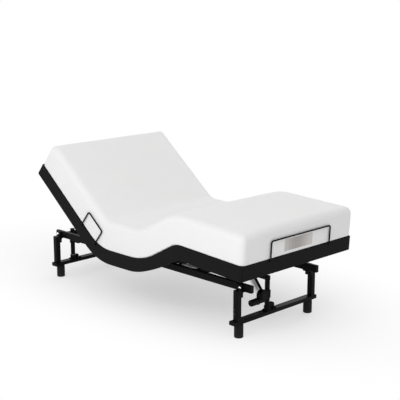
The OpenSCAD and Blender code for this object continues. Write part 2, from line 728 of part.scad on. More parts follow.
leg_tube_len = 226;
module leg_drive() color([0.8, 0.81, 0.82]) {
    on_leg_drive() difference() {
        translate([0, 0, 14]) cylinder(d = drive_tube_d, h = leg_tube_len);
        translate([0, 0, 24]) cylinder(r = rod_d / 2 + run, h = leg_tube_len);
    }
    difference() {
        on_leg_drive() translate([-9, -11, -2]) cube([18, 22, 18]);
        rod_x(leg_pivot, 5, leg_x - 12, leg_x + 12);
    }
    rod_x(leg_pivot, 11, leg_x - 9, leg_x + 9);
    rod_x(leg_pivot, 6, leg_x + 8, hanger_x + 7);
}
module leg_drive_rod() on_leg_drive() color([0.6, 0.6, 0.62]) {
    translate([0, 0, 160]) cylinder(d = rod_d, h = leg_reach - 20 - 160);
    difference() {
        translate([-17, -11, leg_reach - 26]) cube([34, 22, 36]);
        translate([-11, -20, leg_reach - 18]) cube([22, 40, 60]);
    }
    translate([-20, 0, leg_reach]) rotate([0, 90, 0]) cylinder(r = 5, h = 40);
}
module leg_drive_roller() on_leg_drive() color([0.85, 0.85, 0.83])
    translate([-10, 0, leg_reach]) rotate([0, 90, 0]) difference() {
        cylinder(r = leg_roller_r, h = 20);
        translate([0, 0, -1]) cylinder(r = 5 + run, h = 22);
    }

// ---------------------------------------------------------------- drawing

bed() foot_cross_tube();
bed() foot_tube_plugs();
bed() foot_end_feet();
bed() foot_inner_legs();
bed() foot_column_base();
bed() foot_lift_tube();
bed() foot_lift_gearbox();
bed() foot_lift_motor();
bed() head_cross_tube();
bed() head_tube_plugs();
bed() head_end_feet();
bed() head_inner_legs();
bed() head_column_base();
bed() head_lift_rod();
bed() side_rails();
bed() rail_end_caps();
bed() crossbars();
bed() head_crossbar();
bed() outer_posts();
bed() post_brackets();
bed() bracket_bolts();
bed() glide_screws();
bed() glide_bushes();
bed() foot_lift_rod();
bed() head_lift_tube();
bed() head_lift_gearbox();
bed() head_lift_motor();
bed() torsion_brackets();
bed() control_box();
bed() back_drive();
bed() drive_hangers();
bed() seat_frame();
bed() seat_board();
bed() seat_cover();
bed() seat_mattress();
bed() hinge_pins();
bed() back_frame();
bed() back_board();
bed() back_cover();
bed() back_mattress();
bed() side_retainers();
bed() back_lift_arm();
bed() back_arm_rollers();
bed() back_drive_rod();
bed() thigh_frame();
bed() thigh_board();
bed() thigh_cover();
bed() thigh_mattress();
bed() knee_pins();
bed() calf_frame();
bed() calf_board();
bed() calf_cover();
bed() calf_mattress();
bed() mattress_label();
bed() foot_retainer();
bed() calf_links();
bed() leg_drive();
bed() leg_drive_rod();
bed() leg_drive_roller();
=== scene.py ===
# Adjustable bed with its mattress: materials, upholstery, mattress, camera and light.
import bpy
import bmesh
import json
import math
import numpy as np
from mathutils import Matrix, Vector, noise


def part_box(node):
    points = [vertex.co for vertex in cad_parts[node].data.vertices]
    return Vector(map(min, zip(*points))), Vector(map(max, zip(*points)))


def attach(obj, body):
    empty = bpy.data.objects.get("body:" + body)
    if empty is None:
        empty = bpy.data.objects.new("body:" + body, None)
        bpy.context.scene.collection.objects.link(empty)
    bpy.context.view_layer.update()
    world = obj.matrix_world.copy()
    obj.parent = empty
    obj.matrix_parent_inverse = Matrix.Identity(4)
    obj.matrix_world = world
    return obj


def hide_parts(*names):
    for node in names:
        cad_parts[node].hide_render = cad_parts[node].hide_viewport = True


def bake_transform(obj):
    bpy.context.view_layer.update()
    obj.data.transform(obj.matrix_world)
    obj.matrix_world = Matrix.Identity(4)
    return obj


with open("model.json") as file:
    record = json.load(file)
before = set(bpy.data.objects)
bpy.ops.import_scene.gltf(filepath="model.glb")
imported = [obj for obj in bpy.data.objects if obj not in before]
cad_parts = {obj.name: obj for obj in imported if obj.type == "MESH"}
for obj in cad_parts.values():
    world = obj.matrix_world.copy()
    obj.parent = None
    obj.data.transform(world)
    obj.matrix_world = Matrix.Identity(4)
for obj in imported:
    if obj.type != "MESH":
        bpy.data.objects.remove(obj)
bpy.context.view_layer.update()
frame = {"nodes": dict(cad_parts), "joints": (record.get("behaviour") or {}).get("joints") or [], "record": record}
scene = bpy.context.scene
joints = {joint["name"]: joint for joint in frame["joints"]}


def boxOf(name):
    low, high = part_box(name)
    return np.array(low), np.array(high)


# Camera and light; lengths in metres, angles in degrees, powers in watts
camera = {
    "place": (-4.1385, -4.3140, 1.9612),
    "tilt": 77.443,
    "turn": -44.731,
    "lens": 87.47,
    "sensor": 36,
    "farthest": 60,
}
light = {
    "aim": (0, 0, 0.4),
    "sky": 0.716,
    "lamps": {
        "key": ((-4.6, -1.2, 3.0), 3.2, 97),  # place, width, power
        "fill": ((4.5, 0.5, 2.6), 3.0, 55),
    },
}


def placeCamera():
    view = bpy.data.cameras.new("camera")
    view.lens = camera["lens"]
    view.sensor_width = camera["sensor"]
    view.clip_end = camera["farthest"]
    viewer = bpy.data.objects.new("camera", view)
    viewer.location = camera["place"]
    viewer.rotation_euler = (math.radians(camera["tilt"]), 0, math.radians(camera["turn"]))
    scene.collection.objects.link(viewer)
    scene.camera = viewer


def addLamp(name, place, width, power):
    data = bpy.data.lights.new(name, "AREA")
    data.shape = "SQUARE"
    data.size = width
    data.energy = power
    lamp = bpy.data.objects.new(name, data)
    lamp.location = place
    lamp.rotation_euler = (Vector(light["aim"]) - lamp.location).to_track_quat("-Z", "Y").to_euler()
    scene.collection.objects.link(lamp)


placeCamera()
for name, values in light["lamps"].items():
    addLamp(name, *values)
scene.view_settings.view_transform = "Standard"
print("camera and light placed")


class Wire:
    # one output socket, so that values add and multiply like numbers
    def __init__(self, tree, socket):
        self.tree = tree
        self.socket = socket

    def combine(self, op, first, second=None):
        node = self.tree.nodes.new("ShaderNodeMath")
        node.operation = op
        for i, value in enumerate((first, second)):
            if isinstance(value, Wire):
                self.tree.links.new(value.socket, node.inputs[i])
            elif value is not None:
                node.inputs[i].default_value = value
        return Wire(self.tree, node.outputs[0])

    def __add__(self, other):
        return self.combine("ADD", self, other)

    def __radd__(self, other):
        return self.combine("ADD", other, self)

    def __sub__(self, other):
        return self.combine("SUBTRACT", self, other)

    def __rsub__(self, other):
        return self.combine("SUBTRACT", other, self)

    def __mul__(self, other):
        return self.combine("MULTIPLY", self, other)

    def __rmul__(self, other):
        return self.combine("MULTIPLY", other, self)

    def __pow__(self, other):
        return self.combine("POWER", self, other)

    def __rpow__(self, other):
        return self.combine("POWER", other, self)

    def sine(self):
        return self.combine("SINE", self)

    def size(self):
        return self.combine("ABSOLUTE", self)

    def above(self, limit):
        return self.combine("GREATER_THAN", self, limit)

    def beside(self, name):
        # another output of the same node
        return Wire(self.tree, self.socket.node.outputs[name])


class Nodes:
    # a node tree and the one way to add nodes to it
    def __init__(self, tree):
        self.tree = tree

    def add(self, kind, settings=None, out=0, **sockets):
        # sockets go by name, or by number as i0, i1 ...
        node = self.tree.nodes.new(kind)
        for name, value in (settings or {}).items():
            setattr(node, name, value)
        for name, value in sockets.items():
            numbered = name[0] == "i" and name[1:].isdigit()
            self.feed(node.inputs[int(name[1:]) if numbered else name.replace("_", " ")], value)
        return Wire(self.tree, node.outputs[out])

    def feed(self, socket, value):
        if isinstance(value, Wire):
            self.tree.links.new(value.socket, socket)
        else:
            socket.default_value = value

    def seenRays(self):
        # 1 where the camera looks, straight, in gloss or through glass
        straight = self.add("ShaderNodeLightPath", out="Is Camera Ray")
        return straight + straight.beside("Is Glossy Ray") + straight.beside("Is Transmission Ray")


class Finish(Nodes):
    # a material with a Principled shader and short ways to add nodes to it
    def __init__(self, name, **fixed):
        self.material = bpy.data.materials.new(name)
        self.material.use_nodes = True
        super().__init__(self.material.node_tree)
        self.shader = self.tree.nodes["Principled BSDF"]
        self.give(**fixed)

    def give(self, **sockets):
        # values or links for the shader's own sockets
        for name, value in sockets.items():
            self.feed(self.shader.inputs[name.replace("_", " ")], value)

    def place(self):
        return self.add("ShaderNodeTexCoord", out="Object")

    def stretch(self, scale):
        return self.add("ShaderNodeVectorMath", {"operation": "MULTIPLY"}, i0=self.place(), i1=scale)

    def speckle(self, scale, detail=2.0, rough=0.5):
        # noise; a scale along each axis stretches it
        stretched = isinstance(scale, tuple)
        return self.add("ShaderNodeTexNoise", Vector=self.stretch(scale) if stretched else self.place(),
                        Scale=1.0 if stretched else scale, Detail=detail, Roughness=rough)

    def axes(self):
        first = self.add("ShaderNodeSeparateXYZ", i0=self.place())
        return [first, first.beside("Y"), first.beside("Z")]

    def blendColour(self, amount, first, second):
        return self.add("ShaderNodeMix", {"data_type": "RGBA"}, out=2, i0=amount, i6=first, i7=second)

    def bump(self, height, distance, strength, normal=None):
        extra = {"Normal": normal} if normal else {}
        return self.add("ShaderNodeBump", Height=height, Distance=distance, Strength=strength, **extra)

    def softEdge(self, radius):
        return self.add("ShaderNodeBevel", {"samples": 4}, Radius=radius)


def grey(level, warm=0.0):
    return (level * (1 + warm), level, level * (1 - warm), 1)


# Satin powder coat: fine orange peel, dust in random patches, softened edges
coat = {
    "colours": (grey(0.0024), grey(0.0056, 0.02)),
    "shine": 0.055,
    "dust": (14, 5, 0.6),
    "grain": (900, 2),
    "rough": 0.25,
    "dustRough": 0.12,
    "grainRough": 0.05,
    "grainBump": (0.00005, 0.5),
    "edge": 0.0016,
}


def coatedSteel():
    f = Finish("blackSteel", Metallic=0.0, Specular_IOR_Level=coat["shine"], Coat_Weight=0.0)
    dust = f.speckle(*coat["dust"])
    grain = f.speckle(*coat["grain"])
    f.give(Base_Color=f.blendColour(dust, *coat["colours"]),
           Roughness=coat["rough"] + dust * coat["dustRough"] + grain * coat["grainRough"],
           Normal=f.bump(grain, *coat["grainBump"], f.softEdge(coat["edge"])))
    return f.material


# Bare and plated steel: handling marks over fine lines from the bar's drawing
steel = {
    "smear": (60, 4, 0.6),
    "smearDark": 0.8,
    "smearWarm": 0.02,
    "smearRough": 0.12,
    "lines": ((60, 60, 2500), 3, 0.5),
    "linesBump": (0.00004, 0.4),
}


def bareSteel(name, level, rough):
    f = Finish(name, Metallic=1.0)
    smear = f.speckle(*steel["smear"])
    lines = f.speckle(*steel["lines"])
    smeared = grey(level * steel["smearDark"], steel["smearWarm"])
    f.give(Base_Color=f.blendColour(smear, grey(level), smeared),
           Roughness=rough + smear * steel["smearRough"],
           Normal=f.bump(lines, *steel["linesBump"]))
    return f.material


# Moulded plastic: spark-eroded texture and a slight cloudiness
plastic = {
    "texture": (1400, 1),
    "cloud": (9, 4),
    "cloudLight": 1.35,
    "textureRough": 0.12,
    "textureBump": (0.00012, 0.5),
    "edge": 0.0014,
}


def mouldedPlastic(name, level, rough, shine):
    f = Finish(name, Specular_IOR_Level=shine)
    texture = f.speckle(*plastic["texture"])
    cloud = f.speckle(*plastic["cloud"])
    f.give(Base_Color=f.blendColour(cloud, grey(level), grey(level * plastic["cloudLight"])),
           Roughness=rough + texture * plastic["textureRough"],
           Normal=f.bump(texture, *plastic["textureBump"], f.softEdge(plastic["edge"])))
    return f.material


# Rubber feet, scuffed grey close to the floor
rubber = {
    "colours": (grey(0.0085), grey(0.021, 0.03)),
    "shine": 0.14,
    "scuff": (45, 6, 0.65),
    "scuffTop": 0.02,
    "rough": 0.55,
    "scuffRough": 0.2,
    "grain": (700, 2),
    "grainBump": (0.0001, 0.5),
}


def rubberFeet():
    f = Finish("footRubber", Specular_IOR_Level=rubber["shine"])
    scuff = f.speckle(*rubber["scuff"])
    low = (rubber["scuffTop"] - f.axes()[2]).above(0.0) * scuff
    f.give(Base_Color=f.blendColour(low, *rubber["colours"]),
           Roughness=rubber["rough"] + scuff * rubber["scuffRough"],
           Normal=f.bump(f.speckle(*rubber["grain"]), *rubber["grainBump"]))
    return f.material


# Drawn aluminium tube with a dull haze
aluminium = {
    "colours": (grey(0.88), grey(0.95)),
    "metal": 0.4,
    "draw": ((1800, 30, 30), 3, 0.6),
    "haze": (18, 3),
    "rough": 0.32,
    "drawRough": 0.1,
    "hazeRough": 0.1,
    "drawBump": (0.00003, 0.3),
}


def drawnAluminium():
    f = Finish("driveAluminium", Metallic=aluminium["metal"])
    draw = f.speckle(*aluminium["draw"])
    haze = f.speckle(*aluminium["haze"])
    f.give(Base_Color=f.blendColour(haze, *aluminium["colours"]),
           Roughness=aluminium["rough"] + draw * aluminium["drawRough"] + haze * aluminium["hazeRough"],
           Normal=f.bump(draw, *aluminium["drawBump"]))
    return f.material


# Birch plywood stained black, the grain of its face veneer still showing along Y
ply = {
    "colours": ((0.010, 0.009, 0.008, 1), (0.026, 0.022, 0.018, 1)),
    "shine": 0.2,
    "grain": ((70, 6, 70), 8, 0.6),
    "figure": ((9, 1.5, 9), 3, 0.5),
    "mix": (0.6, 0.4),
    "rough": 0.5,
    "grainRough": 0.2,
    "grainBump": (0.0002, 0.4),
}


def stainedPly():
    f = Finish("plywood", Specular_IOR_Level=ply["shine"])
    grain = f.speckle(*ply["grain"])
    figure = f.speckle(*ply["figure"])
    f.give(Base_Color=f.blendColour(grain * ply["mix"][0] + figure * ply["mix"][1], *ply["colours"]),
           Roughness=ply["rough"] + grain * ply["grainRough"],
           Normal=f.bump(grain, *ply["grainBump"]))
    return f.material


# Deck fabric: plain weave, its threads a little over a millimetre apart, with slubs and fuzz
weave = {
    "colours": (grey(0.0043), grey(0.0103)),
    "shine": 0.10,
    "sheen": (0.02, 0.5),
    "pitch": 0.0013,
    "lean": (0.6, 0.8),  # carries the threads up the side walls
    "slub": ((260, 40, 260), 3, 0.5),
    "fuzz": (420, 4, 0.7),
    "rough": 0.8,
    "fuzzRough": 0.15,
    "relief": (0.6, 0.3, 0.3),  # threads, slubs, fuzz
    "bump": (0.0005, 0.7),
}


def wovenBlack():
    f = Finish("deckFabric", Specular_IOR_Level=weave["shine"], Sheen_Weight=weave["sheen"][0],
               Sheen_Roughness=weave["sheen"][1])
    u, v, w = f.axes()
    turns = 2 * math.pi / weave["pitch"]
    along = ((v + w * weave["lean"][0]) * turns).sine()
    across = ((u + w * weave["lean"][1]) * turns).sine()
    threads = (along * across).size()
    slub = f.speckle(*weave["slub"])
    fuzz = f.speckle(*weave["fuzz"])
    relief = weave["relief"]
    f.give(Base_Color=f.blendColour(threads * 0.5 + slub * 0.5, *weave["colours"]),
           Roughness=weave["rough"] + fuzz * weave["fuzzRough"],
           Normal=f.bump(threads * relief[0] + slub * relief[1] + fuzz * relief[2], *weave["bump"]))
    return f.material


# Mattress cover: white stretch knit with a faint loop pattern
knit = {
    "colours": (grey(0.79, 0.002), grey(0.84, 0.002)),
    "shine": 0.2,
    "sheen": (0.15, 0.6),
    "pitch": 0.0024,
    "lean": 0.5,
    "rowPitch": 0.62,
    "cloud": (7, 3),
    "fuzz": (600, 3, 0.6),
    "tone": (0.6, 0.2, 0.2),  # cloud, loops, base
    "rough": 0.82,
    "fuzzRough": 0.12,
    "bump": (0.0004, 0.5),
}


def whiteKnit():
    f = Finish("mattressFabric", Specular_IOR_Level=knit["shine"], Sheen_Weight=knit["sheen"][0],
               Sheen_Roughness=knit["sheen"][1])
    u, v, w = f.axes()
    turns = 2 * math.pi / knit["pitch"]
    loops = ((u + w * knit["lean"]) * turns).sine() * ((v + w) * turns * knit["rowPitch"]).sine()
    cloud = f.speckle(*knit["cloud"])
    fuzz = f.speckle(*knit["fuzz"])
    tone = knit["tone"]
    f.give(Base_Color=f.blendColour(cloud * tone[0] + loops * tone[1] + tone[2], *knit["colours"]),
           Roughness=knit["rough"] + fuzz * knit["fuzzRough"],
           Normal=f.bump(loops * 0.5 + fuzz * 0.5, *knit["bump"]))
    return f.material


# Label cloth: taupe satin, darker left of the middle, in soft upright bands with nothing written
cloth = {
    "colours": ((0.40, 0.372, 0.352, 1), (0.64, 0.61, 0.588, 1)),
    "shine": 0.3,
    "wide": (21, 2.24, 0.5),  # turns per metre in radians, start, height
    "bands": ((390, 0.0, 0.05), (233, 1.3, 0.06)),
    "threadPitch": 0.0008,
    "rough": 0.6,
    "threadRough": 0.05,
    "threadBump": (0.00008, 0.4),
}


def plainLabel():
    f = Finish("labelFabric", Specular_IOR_Level=cloth["shine"])
    u = f.axes()[0]
    wide, fine, narrow = [(u * turns + start).sine() * height
                          for turns, start, height in (cloth["wide"], *cloth["bands"])]
    threads = (u * (2 * math.pi / cloth["threadPitch"])).sine()
    f.give(Base_Color=f.blendColour(0.5 - wide + fine + narrow, *cloth["colours"]),
           Roughness=cloth["rough"] + threads * cloth["threadRough"],
           Normal=f.bump(threads, *cloth["threadBump"]))
    return f.material


# One finish for each material slot of the record
finishes = {
    "black_steel": coatedSteel(),
    "bright_steel": bareSteel("brightSteel", level=0.60, rough=0.28),
    "plated_bolt": bareSteel("platedBolt", level=0.93, rough=0.16),
    "dark_screw": bareSteel("darkScrew", level=0.03, rough=0.34),
    "black_plastic": mouldedPlastic("blackPlastic", level=0.0032, rough=0.42, shine=0.07),
    "nylon": mouldedPlastic("nylon", level=0.62, rough=0.4, shine=0.45),
    "foot_rubber": rubberFeet(),
    "drive_aluminium": drawnAluminium(),
    "plywood": stainedPly(),
    "deck_fabric": wovenBlack(),
    "mattress_fabric": whiteKnit(),
    "label_fabric": plainLabel(),
}
for part in frame["record"]["subparts"]:
    for place in frame["nodes"][part["node"]].material_slots:
        place.material = finishes[part["material_slot"]]
print("finishes assigned")


def meshFrom(name, points, faces):
    mesh = bpy.data.meshes.new(name)
    mesh.from_pydata([tuple(p) for p in points], [], faces)
    mesh.update()
    obj = bpy.data.objects.new(name, mesh)
    scene.collection.objects.link(obj)
    return obj


def dress(obj, finishName):
    for polygon in obj.data.polygons:
        polygon.use_smooth = True
    obj.data.materials.append(finishes[finishName])


# Distances in metres below which two points count as one, or a number as nothing
cadMerge = 1e-5
merge = 1e-6
tiny = 1e-9
places = 6  # decimals kept in grid lines


def solidsOf(name):
    # boxes of a node's separate solids, read from a merged copy of its mesh
    bm = bmesh.new()
    bm.from_mesh(frame["nodes"][name].data)
    bmesh.ops.remove_doubles(bm, verts=bm.verts, dist=cadMerge)
    left = set(bm.verts)
    boxes = []
    while left:
        queue = [left.pop()]
        points = []
        while queue:
            vertex = queue.pop()
            points.append(vertex.co[:])
            for edge in vertex.link_edges:
                other = edge.other_vert(vertex)
                if other in left:
                    left.remove(other)
                    queue.append(other)
        boxes.append((np.min(points, axis=0), np.max(points, axis=0)))
    bm.free()
    return boxes


# Deck line: the middle of the deck's thickness in the side view, from foot to head
line = {
    "calf": 0.509,  # from the knee hinge to the foot end
    "back": 0.745,  # from the back hinge to the head end
    "calfSlope": 3.2,
    "backSlope": 39,
    "half": 0.044,
    "bends": (0.118, 0.490, 0.348),  # radii at knee, seat front and seat back
}


def slopeOf(degrees):
    return np.array([math.cos(math.radians(degrees)), math.sin(math.radians(degrees))])


def lineCorners():
    knee, seatFront, seatBack = [np.array(joints[name]["pos_m"])[1:]
                                 for name in ("knee_hinge", "thigh_hinge", "back_hinge")]
    footEnd = knee - line["calf"] * slopeOf(line["calfSlope"])
    headEnd = seatBack + line["back"] * slopeOf(line["backSlope"])
    return [footEnd, knee, seatFront, seatBack, headEnd]


class DeckLine:
    # straight runs joined by arcs; length 0 is the foot end
    def __init__(self, points, radii):
        self.runs = []
        self.length = 0.0
        at = points[0]
        for before, corner, after, radius in zip(points, points[1:], points[2:], radii):
            into = corner - before
            away = after - corner
            angle = math.atan2(into[1], into[0])
            turn = math.atan2(away[1], away[0]) - angle
            trim = radius * math.tan(abs(turn) / 2)
            start = corner - trim * into / np.linalg.norm(into)
            self.addRun(np.linalg.norm(start - at), at, angle)
            self.addRun(radius * abs(turn), start, angle, turn / (radius * abs(turn)))
            at = corner + trim * away / np.linalg.norm(away)
        last = points[-1] - at
        self.addRun(np.linalg.norm(last), at, math.atan2(last[1], last[0]))

    def addRun(self, size, at, angle, curve=0.0):
        self.runs.append((self.length, size, at, angle, curve))
        self.length += size

    def along(self, run, share):
        # the length at a share of the way through one run
        start, size = self.runs[run][:2]
        return start + size * share

    def bend(self, flat):
        # flat points (x, length along the line, height over it) to the row frame
        s, h = flat[:, 1], flat[:, 2]
        out = np.array(flat, float)
        starts = [run[0] for run in self.runs]
        owner = np.clip(np.searchsorted(starts, s, side="right") - 1, 0, None)
        for i, (start, size, at, angle, curve) in enumerate(self.runs):
            inside = owner == i
            t = s[inside] - start
            a = angle + curve * t
            if curve:
                y = at[0] + (np.sin(a) - math.sin(angle)) / curve
                z = at[1] - (np.cos(a) - math.cos(angle)) / curve
            else:
                y = at[0] + t * math.cos(angle)
                z = at[1] + t * math.sin(angle)
            out[inside, 1] = y - h[inside] * np.sin(a)
            out[inside, 2] = z + h[inside] * np.cos(a)
        return out

    def spot(self, length):
        return tuple(self.bend(np.array([[0.0, length, 0.0]]))[0])


deckLine = DeckLine(lineCorners(), line["bends"])
runs = {"knee": 1, "thigh": 2, "seatFront": 3, "seat": 4, "seatBack": 5}  # arcs have odd numbers
thighMiddle = deckLine.along(runs["thigh"], 0.5)
seatMiddle = deckLine.along(runs["seat"], 0.5)
beyond = 1.0  # past an end, where a cut meets nothing

# The upholstery's three pieces: first and last length, the arc that each turns on, its body
# before and after the turn, whether that runs toward the head, and what it stands for
sections = {
    "Calf": {
        "cuts": (-beyond, thighMiddle),
        "arc": runs["knee"],
        "bodies": ("thigh", "calf"),
        "headward": False,
        "nodes": ("calf",),
    },
    "Seat": {
        "cuts": (thighMiddle, seatMiddle),
        "arc": runs["seatFront"],
        "bodies": ("chassis", "thigh"),
        "headward": False,
        "nodes": ("seat", "thigh"),
    },
    "Back": {
        "cuts": (seatMiddle, deckLine.length + beyond),
        "arc": runs["seatBack"],
        "bodies": ("chassis", "back"),
        "headward": True,
        "nodes": ("back",),
    },
}
print("deck line %.3f m long" % deckLine.length)


def spread(low, high, edge, steps, extra=()):
    # grid lines between two ends, with the first step near the ends and the second between
    fine, coarse = steps
    nearLow = np.linspace(low, low + edge, max(2, round(edge / fine) + 1))
    nearHigh = high - (nearLow[::-1] - low)
    middle = np.linspace(low + edge, high - edge, max(2, round((high - low - 2 * edge) / coarse) + 1))
    marks = np.concatenate([nearLow, middle, nearHigh, np.array(extra, float)])
    return np.unique(np.round(marks, places))


def seamLines(low, heights, width, steps):
    # extra grid lines on both sides of each seam
    return [low + height + step * width for height in heights for step in steps]


def ridge(over, height, width):
    return np.exp(-((over - height) / width) ** 2)


seedSteps = (3.1, 1.7, 0.9)


def ripple(points, size, seed):
    # smooth noise, about -1 to 1, with the same value on every run
    shift = Vector([seed * step for step in seedSteps])
    return np.array([noise.noise(Vector(p) / size + shift) for p in points])


def gridBox(xs, ss, hs):
    # six gridded sides of a box, joined along the edges, with their faces outward
    index = {}
    points = []
    faces = []
    nx, ns, nh = len(xs) - 1, len(ss) - 1, len(hs) - 1

    def vertex(i, j, k):
        if (i, j, k) not in index:
            index[i, j, k] = len(points)
            points.append((xs[i], ss[j], hs[k]))
        return index[i, j, k]

    def side(countA, countB, at):
        for a in range(countA):
            for b in range(countB):
                faces.append([at(a, b), at(a + 1, b), at(a + 1, b + 1), at(a, b + 1)])

    side(nx, ns, lambda i, j: vertex(i, j, nh))
    side(ns, nx, lambda j, i: vertex(i, j, 0))
    side(nx, nh, lambda i, k: vertex(i, 0, k))
    side(nh, nx, lambda k, i: vertex(i, ns, k))
    side(nh, ns, lambda k, j: vertex(0, j, k))
    side(ns, nh, lambda j, k: vertex(nx, j, k))
    return np.array(points), faces


def roundBox(points, low, high, corner, topEdge, bottomEdge):
    # rounds the upright corners, then the edges along top and bottom; also gives each point's
    # outward direction in plan and how far it lies inside the nearest side
    middle = (low + high) / 2
    half = (high - low) / 2
    plan = points[:, :2] - middle[:2]
    inset = (half[:2] - np.abs(plan)).min(axis=1)
    core = np.clip(plan, -(half[:2] - corner), half[:2] - corner)
    out = plan - core
    size = np.linalg.norm(out, axis=1, keepdims=True)
    normal = np.where(size > tiny, out / np.maximum(size, tiny), 0)
    plan = core + normal * np.abs(out).max(axis=1, keepdims=True)
    height = points[:, 2].copy()
    for radius, edge, way in ((topEdge, high[2], -1), (bottomEdge, low[2], 1)):
        depth = way * (points[:, 2] - edge)
        near = (inset < radius) & (depth < radius)
        u = radius - inset[near]
        v = radius - depth[near]
        scale = np.maximum(u, v) / np.maximum(np.hypot(u, v), tiny)
        plan[near] += normal[near] * (u * scale - u)[:, None]
        height[near] = edge + way * (radius - v * scale)
    return np.column_stack([plan + middle[:2], height]), normal, inset


def cutPiece(obj, cuts, shapeFlat):
    # keeps what lies between two lengths, then bends it along the deck line
    bm = bmesh.new()
    bm.from_mesh(obj.data)
    if shapeFlat:
        shapeFlat(bm)
    for cut, side in zip(cuts, (1, -1)):
        geom = list(bm.verts) + list(bm.edges) + list(bm.faces)
        bmesh.ops.bisect_plane(bm, geom=geom, dist=merge, plane_co=(0, cut, 0),
                               plane_no=(0, side, 0), clear_inner=True)
    bm.to_mesh(obj.data)
    bm.free()
    co = np.empty(len(obj.data.vertices) * 3)
    obj.data.vertices.foreach_get("co", co)
    obj.data.vertices.foreach_set("co", deckLine.bend(co.reshape(-1, 3)).ravel())
    obj.data.update()


def cutSections(prefix, ending, flat, faces, finishName, shapeFlat=None, kneeReach=(0, 0)):
    # one bent piece per joint, cut across in the straight runs where no surface turns
    made = []
    for title, section in sections.items():
        obj = meshFrom(prefix + title, flat, faces)
        cutPiece(obj, section["cuts"], shapeFlat)
        dress(obj, finishName)
        reach = kneeReach if section["arc"] == runs["knee"] else (0, 0)
        zone = [deckLine.spot(deckLine.along(section["arc"], 0) - reach[0]),
                deckLine.spot(deckLine.along(section["arc"], 1) + reach[1])]
        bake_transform(obj)
        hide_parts(*[node + ending for node in section["nodes"]])
        made.append(obj)
    return made


# Deck: side walls and padding over the boards, one run of fabric from foot to head; steps are
# the grid's, close to the ends and between them
deck = {
    "corner": 0.013,
    "topEdge": 0.007,
    "bottomEdge": 0.005,
    "wall": 0.022,
    "puff": 0.0012,
    "puffSize": 0.16,
    "piping": 0.0805,  # heights over the lower edge
    "hem": 0.014,
    "pipingOut": 0.0014,
    "hemIn": 0.0009,
    "seamWidth": 0.0016,
    "rim": 0.001,  # flat band along top and bottom that the swell leaves alone
    "pinch": 0.010,  # how far the hem pulls up at the seat's front
    "pinchAt": 0.3,
    "pinchReach": 0.12,
    "padUnder": 0.070,
    "crossSteps": (0.003, 0.045),
    "lengthSteps": (0.003, 0.009),
    "heightSteps": (0.0022, 0.008),
    "near": 0.0001,  # tolerance when the underside's faces are picked
}


def makeDeck():
    low, high = boxOf("seat_cover")
    lows = np.array([low[0], 0.0, -line["half"]])
    highs = np.array([high[0], deckLine.length, line["half"]])
    wall = deck["wall"]
    seams = seamLines(lows[2], (deck["piping"], deck["hem"]), deck["seamWidth"],
                      (-2, -1, -0.5, 0, 0.5, 1, 2))
    xs = spread(lows[0], highs[0], deck["corner"], deck["crossSteps"], (lows[0] + wall, highs[0] - wall))
    ss = spread(lows[1], highs[1], deck["corner"], deck["lengthSteps"], (wall, highs[1] - wall))
    hs = spread(lows[2], highs[2], deck["topEdge"], deck["heightSteps"], seams)
    points, faces = gridBox(xs, ss, hs)
    flat, normal, inset = roundBox(points, lows, highs, deck["corner"], deck["topEdge"],
                                   deck["bottomEdge"])
    over = flat[:, 2] - lows[2]
    stand = deck["puff"] * ripple(flat, deck["puffSize"], seed=1) - deck["puff"]
    stand += ridge(over, deck["piping"], deck["seamWidth"]) * deck["pipingOut"]
    stand -= ridge(over, deck["hem"], deck["seamWidth"]) * deck["hemIn"]
    side = np.abs(flat[:, 2]) < line["half"] - deck["rim"]
    flat[side, :2] += normal[side] * stand[side][:, None]

    def overHollow(face):
        # true for a face of the underside that lies inside the walls
        room = wall + deck["near"]
        centre = face.calc_center_median()
        level = all(abs(v.co.z - lows[2]) < deck["near"] for v in face.verts)
        return level and abs(centre.x) < highs[0] - room and room < centre.y < highs[1] - room

    def shapeFlat(bm):
        # lifts the underside to the padding, then pulls the hem up where the seat bends
        inside = [face for face in bm.faces if overHollow(face)]
        for made in bmesh.ops.extrude_face_region(bm, geom=inside)["geom"]:
            if isinstance(made, bmesh.types.BMVert):
                made.co.z += deck["padUnder"]
        bmesh.ops.delete(bm, geom=inside, context="FACES")
        pinchMiddle = deckLine.along(runs["seatFront"], deck["pinchAt"])
        for v in bm.verts:
            away = (v.co.y - pinchMiddle) / deck["pinchReach"]
            v.co.z += deck["pinch"] * math.exp(-away ** 2) * max(0.0, -v.co.z / line["half"])

    cutSections("deckFabric", "_cover", flat, faces, "deck_fabric", shapeFlat)


makeDeck()
print("deck upholstered")


# Mattress: foam with a stretch cover, soft edges and a slight crown
mattress = {
    "corner": 0.032,
    "topEdge": 0.042,
    "bottomEdge": 0.011,
    "thick": 0.185,
    "endInset": 0.001,
    "gap": 0.0004,  # over the deck
    "crown": 0.004,
    "crownEnds": 0.25,  # the crown fades out over this length
    "thinAt": (0.0, 0.08, 0.30, 0.52, 0.75, 1.10),  # lengths from the foot end
    "thinBy": (0.0, 0.001, 0.010, 0.013, 0.010, 0.0),
    "cornerDrops": (0.020, 0.006),  # at the foot, on the -X and the +X side
    "cornerReach": 0.20,
    "bulge": 0.003,
    "bulgeEnds": 0.3,  # share of the bulge on the foot and head faces
    "waves": ((0.21, 3, 0.7), (0.075, 5, 0.3)),  # size, seed, share
    "wave": 0.0012,
    "waveTop": 1.4,
    "seams": (0.021, 0.139),
    "seamDepth": 0.0006,
    "seamWidth": 0.0022,
    "kneeReach": (0.14, 0.08),
    "crossSteps": (0.005, 0.014),
    "lengthSteps": (0.005, 0.012),
    "heightSteps": (0.005, 0.010),
    "fill": 0.9,
}
sideLow, sideHigh = boxOf("seat_mattress")
mattressLow = np.array([sideLow[0], mattress["endInset"], line["half"] + mattress["gap"]])
mattressHigh = np.array([sideHigh[0], deckLine.length - mattress["endInset"],
                         line["half"] + mattress["thick"]])


